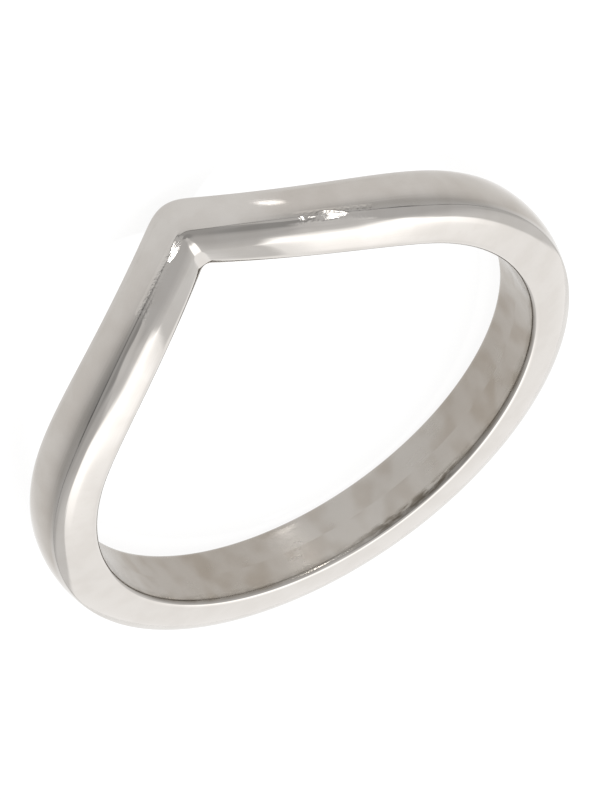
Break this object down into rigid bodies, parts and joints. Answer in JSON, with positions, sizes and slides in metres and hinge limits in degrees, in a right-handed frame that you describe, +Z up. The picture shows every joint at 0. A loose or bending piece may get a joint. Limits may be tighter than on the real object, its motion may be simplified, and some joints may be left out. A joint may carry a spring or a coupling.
{
  "type": "chevron ring",
  "caption": "Plain polished white-metal finger ring, a slim domed band whose front is drawn down into a V.",
  "frame": {"origin": "on the surface that the ring lies on, under the middle of its bounding box", "axes": "+Z up from the surface, +Y towards the point of the V, X across the ring"},
  "size_m": [0.0204, 0.0212, 0.0042],
  "materials": {
    "polished_metal": "polished"
  },
  "bodies": {
    "root": {"band": "polished_metal"}
  },
  "joints": []
}
